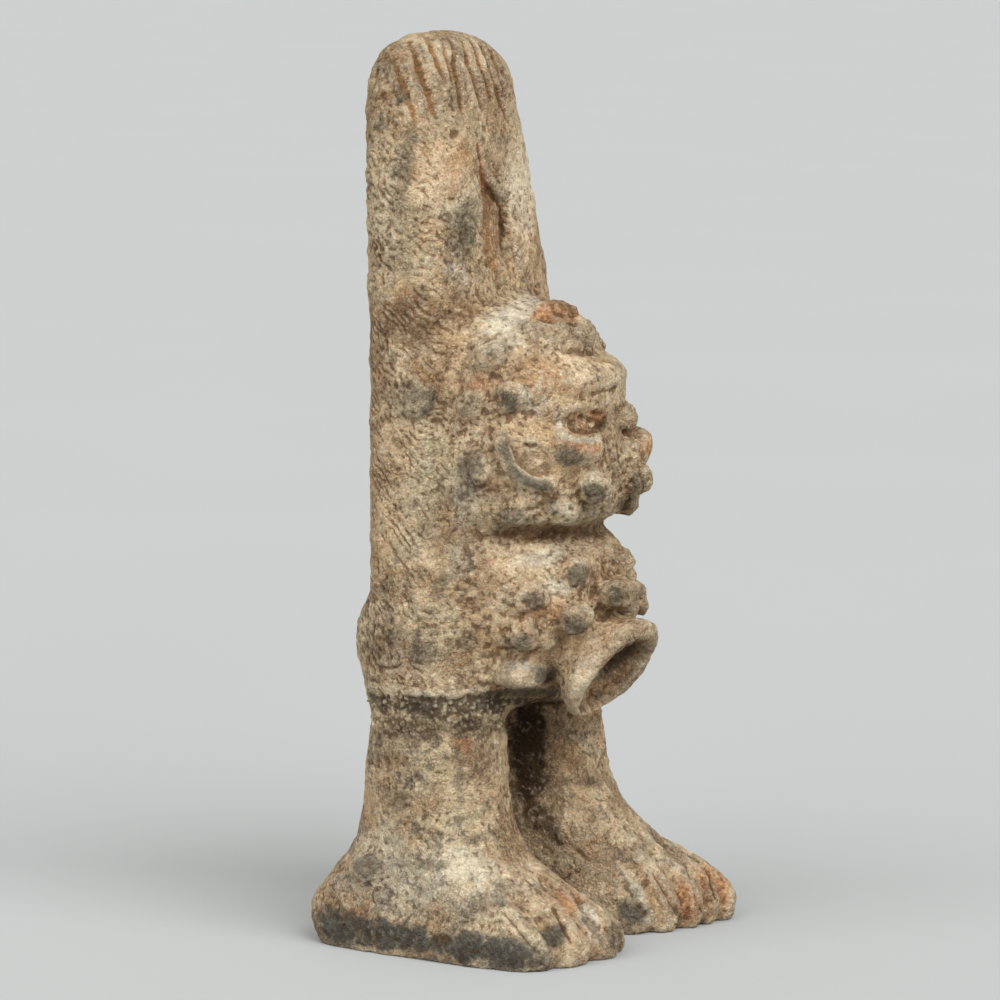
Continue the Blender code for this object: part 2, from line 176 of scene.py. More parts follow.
def chance(places, size, seed):
    """One random number from 0 to 1 for each block of the clay."""
    return scramble(np.floor(places / size).astype(np.int64) @ CELL_KEY, seed)


# The clay body

def only(thing):
    bpy.ops.object.select_all(action="DESELECT")
    thing.select_set(True)
    bpy.context.view_layer.objects.active = thing


def modify(thing, kind, **settings):
    """Add one modifier and apply it."""
    only(thing)
    made = thing.modifiers.new("work", kind)
    for name, value in settings.items():
        setattr(made, name, value)
    bpy.ops.object.modifier_apply(modifier=made.name)


def rough_body():
    """A finer copy of the solid, its facets smoothed away."""
    body = bpy.data.objects.new("fired_clay_figure", solid.data.copy())
    bpy.context.scene.collection.objects.link(body)
    only(body)
    bpy.ops.object.mode_set(mode="EDIT")
    bpy.ops.mesh.select_all(action="SELECT")
    bpy.ops.mesh.remove_doubles(threshold=0.00001)
    bpy.ops.object.mode_set(mode="OBJECT")
    modify(body, "REMESH", mode="VOXEL", voxel_size=FINE)
    modify(body, "SMOOTH", iterations=9)
    return body


class Clay:
    """The figure's surface while it is worked."""

    def __init__(self, body):
        self.body = body
        self.mesh = body.data
        count = len(self.mesh.vertices)
        self.place = np.empty(count * 3)
        self.mesh.vertices.foreach_get("co", self.place)
        self.place = self.place.reshape(-1, 3)
        edges = np.empty(len(self.mesh.edges) * 2, int)
        self.mesh.edges.foreach_get("vertices", edges)
        self.ends = edges.reshape(-1, 2)
        self.degree = np.bincount(edges, minlength=count)
        self.relief = np.zeros(count)
        self.tints = {}
        self.renew()

    def renew(self):
        """Take the moves over into the mesh, and look at it afresh."""
        self.mesh.vertices.foreach_set("co", self.place.ravel())
        self.mesh.update()
        bpy.context.view_layer.update()
        self.normal = np.empty(self.place.size)
        self.mesh.vertex_normals.foreach_get("vector", self.normal)
        self.normal = self.normal.reshape(-1, 3)
        # Both sides as the camera sees the near one: across, down, distance, facing
        self.views = []
        turned = other_side(self.place), other_side(self.normal, 0)
        for place, normal in ((self.place, self.normal), turned):
            across, down, away = seen(place)
            to_eye = np.array(EYE) - place
            facing = np.einsum("ij,ij->i", normal, to_eye) / np.linalg.norm(to_eye, axis=1)
            self.views.append((across, down, away, facing))
        self.unseen = 1 - smooth_step(self.views[0][3], -0.15, 0.0)

    def spot(self, across, down):
        """Where a point of the picture lies on the clay."""
        hit, place, _, _ = self.body.ray_cast(EYE, along_sight(across, down))
        if not hit:
            raise ValueError(f"no clay at {across}, {down}")
        return place

    def slope(self, across, down):
        """Which way the clay faces round a point of the picture."""
        apart = np.linalg.norm(self.place - np.array(self.spot(across, down)), axis=1)
        return Vector(self.normal[apart < 0.006].mean(axis=0)).normalized()

    def mean(self, values):
        """Each vertex's mean of its neighbours' values."""
        first, second = self.ends.T
        if values.ndim == 1:
            total = np.bincount(first, values[second], len(values))
            return (total + np.bincount(second, values[first], len(values))) / self.degree
        return np.stack([self.mean(column) for column in values.T], axis=1)

    def relax(self, amount, passes):
        """Rub the surface smooth where the amount says."""
        touched = amount[:, None]
        for _ in range(passes):
            self.place = self.place + touched * (self.mean(self.place) - self.place)
        self.renew()

    def blot(self, across, down, wide, high, turn=0.0, soft=0.4, sides=2, ragged=0.0):
        """0 to 1 inside an oval of the picture, on the clay that shows there."""
        away = (self.spot(across, down) - EYE).dot(SIGHT @ Vector((0, 0, -1)))
        angle = radians(turn)
        reach = 2.2 * max(wide, high)
        total = np.zeros(len(self.place))
        for side, (seen_across, seen_down, distance, facing) in enumerate(self.views[:sides]):
            near = (abs(seen_across - across) < reach) & (abs(seen_down - down) < reach)
            near &= (abs(distance - away) < 0.045) & (facing > -0.1)
            index = np.nonzero(near)[0]
            if len(index) == 0:
                continue
            right, low = seen_across[index] - across, seen_down[index] - down
            first = (cos(angle) * right + sin(angle) * low) / wide
            second = (cos(angle) * low - sin(angle) * right) / high
            out = np.sqrt(first ** 2 + second ** 2)
            if ragged:
                out = out + ragged * rough(self.place[index], 0.008, 7, 2)
            inside = (1 - smooth_step(out, 1 - soft, 1 + soft)) * smooth_step(facing[index], -0.1, 0.1)
            if side == 1:
                inside = inside * self.unseen[index]
            total[index] = np.maximum(total[index], inside)
        return total

    def fillet(self, rounds, passes):
        """Rub down the creases where one form meets another."""
        for _ in range(rounds):
            soft = self.place
            for _ in range(10):
                soft = self.mean(soft)
            depth = np.einsum("ij,ij->i", soft - self.place, self.normal)
            self.relax(smooth_step(depth, 0.00002, 0.0002), passes)

    def line(self, points, half_width, power=2.0, taper=0.15, sides=2, start=0.0):
        """1 along a line through points of the picture, falling off to its sides."""
        path = np.array([self.spot(*point) for point in points])
        spans = np.linalg.norm(np.diff(path, axis=0), axis=1)
        low, high = path.min(axis=0) - 3 * half_width, path.max(axis=0) + 3 * half_width
        total = np.zeros(len(self.place))
        for side, places in enumerate((self.place, other_side(self.place))[:sides]):
            index = np.nonzero(np.all((places > low) & (places < high), axis=1))[0]
            if len(index) == 0:
                continue
            nearest, along = np.full(len(index), 9.0), np.zeros(len(index))
            done = 0.0
            for first, second, span in zip(path, path[1:], spans):
                way = second - first
                part = np.clip((places[index] - first) @ way / span ** 2, 0, 1)
                apart = np.linalg.norm(places[index] - first - part[:, None] * way, axis=1)
                closer = apart < nearest
                nearest[closer] = apart[closer]
                along[closer] = (done + part[closer] * span) / spans.sum()
                done += span
            strength = np.exp(-(nearest / half_width) ** power)
            if taper:
                strength *= start + (1 - start) * smooth_step(along, 0, taper)
                strength *= smooth_step(1 - along, 0, taper)
            if side == 1:
                strength *= self.unseen[index]
            total[index] = np.maximum(total[index], strength)
        return total

    def settle(self):
        """Raise or sink the surface by what has been asked so far."""
        self.place += self.normal * self.relief[:, None]
        self.relief[:] = 0
        self.renew()

    def tint(self, name, amount):
        kept = self.tints.setdefault(name, np.zeros(len(self.place)))
        np.maximum(kept, amount, out=kept)

    def keep(self, name, values):
        layer = self.mesh.attributes.new(name, "FLOAT", "POINT")
        layer.data.foreach_set("value", values.astype(np.float32))


def lump(place, outward, radius, flat, seed):
    """A pellet of clay, thumbed on: a ball with uneven sides, pressed flat."""
    bpy.ops.mesh.primitive_ico_sphere_add(subdivisions=4, radius=radius, location=(0, 0, 0))
    made = bpy.context.object
    turn = outward.to_track_quat("Z", "Y")
    points = np.empty(len(made.data.vertices) * 3)
    made.data.vertices.foreach_get("co", points)
    points = points.reshape(-1, 3)
    uneven = 1 + 0.28 * swell(points + seed, radius * 1.5, seed) + 0.12 * swell(points, radius * 0.6, seed)
    points = points * uneven[:, None] * (1.0, 1.0, flat)
    points[:, 2] -= 0.38 * flat * radius
    points = points @ np.array(turn.to_matrix()).T + np.array(place)
    made.data.vertices.foreach_set("co", points.ravel())
    made.data.update()
    return made


def pellets(clay):
    """All the pellets, on both sides."""
    made = []
    for number, (across, down, radius, flat) in enumerate(PELLETS):
        place, outward = clay.spot(across, down), clay.slope(across, down)
        made.append(lump(place, outward, radius / 1000, flat, number + 1))
        turned, faced = Vector(other_side(place)), Vector(other_side(outward, 0))
        made.append(lump(turned, faced, radius / 1000, flat, number + 40))
    for number, (across, forward, up, radius, flat) in enumerate(EDGE_LUMPS):
        outward = Vector((across, -forward, 0)).normalized()
        centre = Vector((across + MIDPLANE, -forward - MIDDLE_FORWARD, up)) - 0.0025 * outward
        made.append(lump(centre, outward, radius / 1000, flat, number + 80))
    return made


# The snout's rim: its middle, the way it faces in degrees, its radius and thickness
RIM_MIDDLE = (0.0005, 0.0672, 0.1492)
RIM_DIP, RIM_TURN = 36.0, 2.5
RIM_RADIUS, RIM_THICKNESS = 0.0288, 0.0050
# Its cup, which sits nearer to the lower edge
CUP_RADIUS, CUP_DEPTH, CUP_SHIFT = 0.0265, 0.0150, 0.0040


def snout_rim():
    """The rolled rim of the snout."""
    across, forward, up = RIM_MIDDLE
    facing = Matrix.Rotation(radians(RIM_TURN), 4, "Z") @ Matrix.Rotation(radians(90 + RIM_DIP), 4, "X")
    centre = Vector((across + MIDPLANE, -forward - MIDDLE_FORWARD, up))
    centre -= facing.to_3x3() @ Vector((0, 0, RIM_THICKNESS * 0.9))
    bpy.ops.mesh.primitive_torus_add(location=centre, rotation=facing.to_euler(), major_segments=96,
                                     minor_segments=20, major_radius=RIM_RADIUS, minor_radius=RIM_THICKNESS)
    rim = bpy.context.object
    for vertex in rim.data.vertices:
        around = Vector((vertex.co.x, vertex.co.y, 0)).normalized()
        thin = 0.70 + 0.38 * around.y + 0.12 * sin(around.x * 7) * cos(around.y * 5)
        ring = around * RIM_RADIUS
        vertex.co = around * (RIM_RADIUS - 0.0020 * around.y) + (vertex.co - ring) * thin
    return rim


def widen_snout(clay):
    """Open the snout's cup: a thick lip above, a thin edge below."""
    across, forward, up = RIM_MIDDLE
    facing = Matrix.Rotation(radians(RIM_TURN), 3, "Z") @ Matrix.Rotation(radians(90 + RIM_DIP), 3, "X")
    centre = Vector((across + MIDPLANE, -forward - MIDDLE_FORWARD, up))
    centre += facing @ Vector((0, -CUP_SHIFT, 0))
    local = (clay.place - np.array(centre)) @ np.array(facing) / (CUP_RADIUS, CUP_RADIUS, CUP_DEPTH)
    out = np.linalg.norm(local, axis=1)
    inside = (out < 1) & (out > 0)
    local[inside] /= out[inside, None]
    moved = local * (CUP_RADIUS, CUP_RADIUS, CUP_DEPTH) @ np.array(facing).T + np.array(centre)
    clay.place[inside] = moved[inside]
    clay.renew()


def join(body, pieces):
    """Make the pieces part of the body's mesh."""
    only(body)
    for piece in pieces:
        piece.select_set(True)
    bpy.ops.object.join()


# Where the forms run together: rubbed smooth before the pellets go on
RUBBED = [
    (500, 350, 30, 26), (495, 400, 34, 45), (485, 460, 40, 34), (520, 505, 56, 22), (470, 530, 30, 40),
    (510, 580, 52, 42), (505, 640, 50, 40), (560, 592, 40, 34), (470, 600, 26, 90), (462, 420, 20, 90),
    (622, 424, 14, 24),
]
DOME_FOOT = 0.425
CRESCENT = [(503, 430), (504, 448), (510, 465), (525, 479), (540, 486), (554, 482)]


def rub(clay):
    """Smooth the clay between the forms, and the top of the dome."""
    amount = np.zeros(len(clay.place))
    for across, down, wide, high in RUBBED:
        amount = np.maximum(amount, clay.blot(across, down, wide, high, soft=0.35))
    clay.relax(amount * (1 - clay.line(CRESCENT, 0.007, 4.0, 0)), 90)
    clay.relax(smooth_step(clay.place[:, 2], DOME_FOOT, DOME_FOOT + 0.01), 60)


# Swellings and dents: point, half size across and up, height in millimetres,
# turn and how soft their edge is
FORMS = [
    (580, 446, 30, 20, 1.8, 0, 0.8),
    (566, 682, 15, 26, 3.0, 20, 0.9),
    (551, 660, 13, 24, 3.0, 25, 0.9),
    (586, 423, 21, 10, -1.6, 0, 0.5),
    (533, 461, 19, 13, -2.4, 30, 0.5),
    (413, 396, 22, 24, 3.6, 0, 0.65),
    (404, 385, 8, 8, -1.2, 0, 0.8),
    (524, 676, 26, 12, 1.4, 4, 0.7),
    (582, 337, 14, 12, 1.5, 0, 0.5),
    (548, 380, 16, 16, 1.0, 0, 0.8),
    (445, 218, 6, 6, -1.6, 0, 0.6),
    (455, 134, 5, 5, -1.6, 0, 0.6),
    (589, 927, 12, 9, -1.2, 15, 0.5),
    (440, 941, 9, 6, -2.2, 0, 0.6),
    (571, 902, 20, 10, 1.2, 20, 0.7),
    (430, 622, 14, 12, -1.0, 0, 0.6),
]

# Ridges and grooves: points, half width and height in millimetres
RIDGES = [
    (CRESCENT, 3.3, 3.0),
    ([(561, 436), (575, 440), (590, 440), (605, 436)], 1.2, 1.8),
    ([(560, 420), (570, 408), (585, 404), (600, 408), (608, 418)], 1.6, 0.8),
    ([(520, 413), (528, 415), (536, 413)], 1.2, -1.3),
    ([(522, 443), (530, 446), (539, 445)], 1.2, -1.3),
    ([(566, 427), (580, 431), (595, 430), (604, 425)], 2.4, -1.4),
    ([(600, 353), (584, 354), (566, 352), (548, 347)], 2.2, -0.6),
    ([(612, 360), (596, 358), (578, 360), (560, 362)], 3.0, 1.0),
    ([(618, 388), (604, 391), (588, 394)], 2.0, -1.4),
    ([(536, 319), (552, 322), (568, 323), (582, 323)], 1.6, -1.4),
    ([(535, 490), (548, 494), (562, 492)], 2.2, -1.0),
    ([(487, 376), (498, 378), (506, 376)], 1.6, -1.0),
]

# Broken faces and crumbly clay: point, half size across and up, height of the crumbs in millimetres
BROKEN = [
    (556, 311, 25, 10, 1.3), (586, 420, 23, 10, 1.8), (686, 900, 8, 20, 1.0), (706, 880, 9, 20, 1.0),
    (722, 888, 7, 20, 1.0), (592, 926, 12, 9, 1.0), (614, 930, 12, 18, 1.1), (645, 449, 8, 9, 1.0),
    (430, 621, 13, 13, 1.1), (545, 505, 70, 18, 1.1), (480, 440, 26, 60, 0.9), (625, 480, 24, 40, 1.1),
    (545, 412, 24, 14, 0.7), (510, 625, 36, 44, 0.8), (378, 640, 20, 50, 0.9), (405, 395, 30, 40, 0.8),
    (385, 90, 20, 50, 0.9), (380, 220, 16, 80, 0.9), (455, 230, 24, 30, 0.6), (470, 620, 24, 60, 0.7),
    (540, 545, 60, 12, 0.6), (600, 600, 30, 30, 0.6), (566, 690, 16, 24, 0.8), (335, 900, 22, 34, 0.7),
]


def press_forms(clay):
    """Press in the larger marks, and crumble the broken faces."""
    for across, down, wide, high, height, turn, soft in FORMS:
        clay.relief += height / 1000 * clay.blot(across, down, wide, high, turn, soft)
    clay.settle()
    for points, half_width, height in RIDGES:
        clay.relief += height / 1000 * clay.line(points, half_width / 1000, 2.0, 0.2)
    clay.settle()
    crumbs = np.zeros(len(clay.place))
    for across, down, wide, high, height in BROKEN:
        crumbs = np.maximum(crumbs, height / 1000 * clay.blot(across, down, wide, high, 0, 0.5))
    clay.relief += crumbs * rough(clay.place, 0.0056, 61, 2)
    clay.settle()


# Strokes of the comb over the dome, half width and depth in millimetres
COMBING = [
    ([(393, 58), (402, 85), (411, 108), (420, 132)], 1.9, 1.7),
    ([(409, 42), (419, 68), (429, 97), (439, 128)], 2.1, 2.3),
    ([(426, 37), (433, 52), (440, 68), (447, 88)], 1.9, 2.0),
    ([(440, 39), (446, 58), (451, 78), (455, 96)], 1.2, 1.1),
    ([(449, 39), (455, 68), (460, 97), (464, 126)], 2.0, 2.5),
    ([(461, 41), (469, 66), (477, 92), (484, 120)], 1.9, 2.2),
    ([(472, 43), (480, 64), (487, 84), (494, 106)], 1.7, 2.1),
    ([(481, 46), (490, 70), (500, 98), (511, 129)], 2.0, 2.5),
    ([(490, 51), (496, 66), (501, 80), (507, 96)], 1.6, 1.7),
]
COMB_RIDGES = [
    [(402, 52), (411, 78), (421, 105), (429, 130)],
    [(419, 39), (428, 62), (436, 86), (443, 108)],
    [(438, 38), (446, 62), (452, 88), (456, 112)],
    [(455, 41), (462, 66), (469, 92), (474, 118)],
    [(467, 43), (475, 64), (482, 86), (489, 108)],
    [(477, 46), (485, 66), (493, 88), (501, 110)],
]


def comb(clay):
    """Draw the comb down over the front of the dome."""
    groove = np.zeros(len(clay.place))
    for points, half_width, depth in COMBING:
        mark = clay.line(points, half_width / 1000, 3.0, 0.3, 1, 0.5)
        groove = np.maximum(groove, mark)
        clay.relief = np.minimum(clay.relief, -depth / 1000 * mark)
    for points in COMB_RIDGES:
        clay.relief += 0.0007 * clay.line(points, 0.0014, 2.0, 0.3, 1)
    clay.tint("tan", groove)
    clay.settle()


# The slot down the front: its red crack above, its sharp right wall, its floor
SLOT_CRACK = [(478, 143), (480, 158), (482, 172), (484, 186)]
SLOT_WALL = [(484, 184), (490, 194), (499, 206), (501, 222), (501, 240), (502, 256)]
SLOT_FLOOR = [(481, 178), (485, 196), (488, 214), (490, 234), (492, 254), (495, 276)]


def slot(clay):
    """Sharpen the slot's crack and its right wall, tint its crack and floor, and paint the shadow along the
    wall.
    """
    clay.relief += 0.0012 * clay.line([(487, 190), (493, 202), (495, 225)], 0.0040, 2.0, 0.2, 1, 0.4)
    clay.relief -= 0.0012 * clay.line(SLOT_WALL, 0.0015, 3.0, 0.12, 1, 0.5)
    clay.relief -= 0.0012 * clay.line(SLOT_CRACK, 0.0014, 2.0, 0.2, 1, 0.3)
    clay.tint("tan", 0.8 * clay.line(SLOT_FLOOR, 0.0064, 3.0, 0.12, 1, 0.5))
    clay.tint("umber", 0.7 * clay.blot(491, 228, 10, 40, -3, 0.35, 1))
    clay.tint("rust", 0.8 * clay.line(SLOT_CRACK, 0.0022, 2.0, 0.1, 1, 0.5))
    # Painted shadow along the slot's right wall.
    clay.tint("brown_dirt_and_shade", 0.8 * clay.line(SLOT_WALL, 0.0018, 2.0, 0.1, 1, 0.5))
    clay.settle()


# Grooves between the toes: points, half width and depth in millimetres
TOE_GROOVES = [
    ([(500, 908), (512, 922), (528, 942), (544, 960)], 1.4, 1.9),
    ([(550, 900), (558, 914), (566, 930), (574, 948)], 1.6, 2.3),
    ([(573, 890), (584, 908), (594, 927), (602, 945)], 3.2, 3.0),
    ([(622, 876), (631, 890), (641, 905), (651, 920)], 3.2, 3.4),
    ([(651, 868), (660, 884), (670, 902), (680, 917)], 1.8, 2.8),
    ([(686, 864), (691, 880), (697, 900), (702, 916)], 1.6, 2.4),
    ([(708, 870), (712, 884), (715, 896), (717, 904)], 1.4, 2.0),
]


def toes(clay):
    """Cut the grooves that part the toes."""
    for points, half_width, depth in TOE_GROOVES:
        clay.relief -= depth / 1000 * clay.line(points, half_width / 1000, 2.4, 0.2, 1, 0.2)
    clay.settle()


# The body's overhanging ledge and the band of gritty mortar below it
LEDGE = [(368, 684), (384, 687), (408, 690), (429, 696), (447, 697), (479, 690), (506, 696)]
BAND = [(369, 699), (388, 702), (410, 705), (432, 708), (452, 708), (480, 704), (504, 706)]
BAND_LOW, BAND_HIGH = 0.1165, 0.1290


def mortar(clay):
    """The legs' joint with the body: an undercut full of gritty mortar."""
    up = clay.place[:, 2]
    around = smooth_step(up, BAND_LOW - 0.003, BAND_LOW + 0.002)
    around *= 1 - smooth_step(up, BAND_HIGH, BAND_HIGH + 0.002)
    outward = smooth_step(1 - abs(clay.normal[:, 2]), 0.1, 0.4)
    uneven = smooth_step(rough(clay.place, 0.012, 18, 2), -0.8, 0.4)
    clay.relief += 0.0012 * clay.line(LEDGE, 0.0024, 2.0, 0.1) * uneven
    band = np.maximum(clay.line(BAND, 0.0068, 2.0, 0), around * outward * clay.unseen)
    band = smooth_step(band + 0.32 * rough(clay.place, 0.0110, 14, 3), 0.28, 0.80)
    clay.relief -= 0.0020 * band
    clay.tint("mortar", np.clip(band * (0.85 + 0.7 * rough(clay.place, 0.006, 15, 2)), 0, 1))
    clay.settle()
    below = clay.line([(378, 716), (410, 722), (452, 726), (500, 718)], 0.0080, 2.0, 0)
    gritty = smooth_step(np.maximum(band, 0.8 * below) + 0.4 * rough(clay.place, 0.008, 16, 2), 0.3, 0.7)
    for size, high, seed in ((0.0028, 0.0013, 5), (0.0048, 0.0018, 6)):
        grain = smooth_step(0.40 - grains(clay.place, size, seed), 0, 0.2) * gritty
        clay.relief += high * grain
        clay.tint("quartz", grain * (chance(clay.place, size * 1.3, seed) > 0.66))
    clay.settle()


# Cracks and chips: points, half width and depth in millimetres
CRACKS = [
    ([(388, 362), (392, 368), (396, 374)], 0.9, 1.0),
    ([(374, 665), (388, 668), (405, 664)], 0.9, 1.2),
    ([(418, 610), (430, 614), (444, 611)], 1.0, 0.9),
    ([(420, 622), (432, 626), (442, 624)], 1.0, 0.9),
    ([(581, 751), (593, 756)], 0.9, 1.0),
    ([(578, 766), (578, 777)], 0.9, 1.0),
    ([(593, 798), (604, 801)], 0.9, 1.0),
    ([(554, 834), (560, 847)], 1.0, 1.0),
    ([(560, 828), (572, 846), (590, 862)], 1.0, 0.8),
    ([(366, 640), (368, 652), (376, 662)], 1.4, 0.8),
    ([(388, 540), (396, 556), (410, 572)], 1.1, 0.7),
    ([(463, 540), (470, 556), (474, 572)], 1.1, 0.6),
]


# The slanting scratches on the sides: how far apart, how steep, how deep, in metres
SCRATCH_APART, SCRATCH_SLANT, SCRATCH_DEPTH = 0.0046, 0.84, 0.00080


def wear(clay):
    """Cracks, slanting scratches on the sides, grit, pits and unevenness."""
    for points, half_width, depth in CRACKS:
        clay.relief -= depth / 1000 * clay.line(points, half_width / 1000, 2.0, 0.2)
    clay.settle()
    place = clay.place
    forward = -place[:, 1] - MIDDLE_FORWARD
    side = smooth_step(abs(clay.normal[:, 0]), 0.25, 0.6) * (1 - smooth_step(forward, -0.012, 0.004))
    tall = smooth_step(place[:, 2], 0.135, 0.150) * (1 - smooth_step(place[:, 2], 0.43, 0.44))
    wander = 0.0040 * rough(place, 0.020, 51, 4)
    phase = (place[:, 2] + SCRATCH_SLANT * forward + wander) / SCRATCH_APART
    wave = np.abs(phase % 1 - 0.5) * 2
    patchy = smooth_step(rough(place, 0.014, 23, 2), -0.30, 0.50)
    clay.relief -= SCRATCH_DEPTH * smooth_step(1 - wave, 0.30, 0.95) * side * tall * patchy
    clay.relief += 0.0009 * rough(place, 0.016, 3, 2)
    coarse = smooth_step(rough(place, 0.030, 71, 2), -0.5, 0.5)
    clay.relief += (0.00030 + 0.00040 * coarse) * rough(place, 0.0044, 11, 2)
    pits = grains(place, 0.0070, 8)
    clay.relief -= 0.0014 * smooth_step(0.22 - pits, 0, 0.14) * coarse * chance(place, 0.02, 4)
    clay.settle()
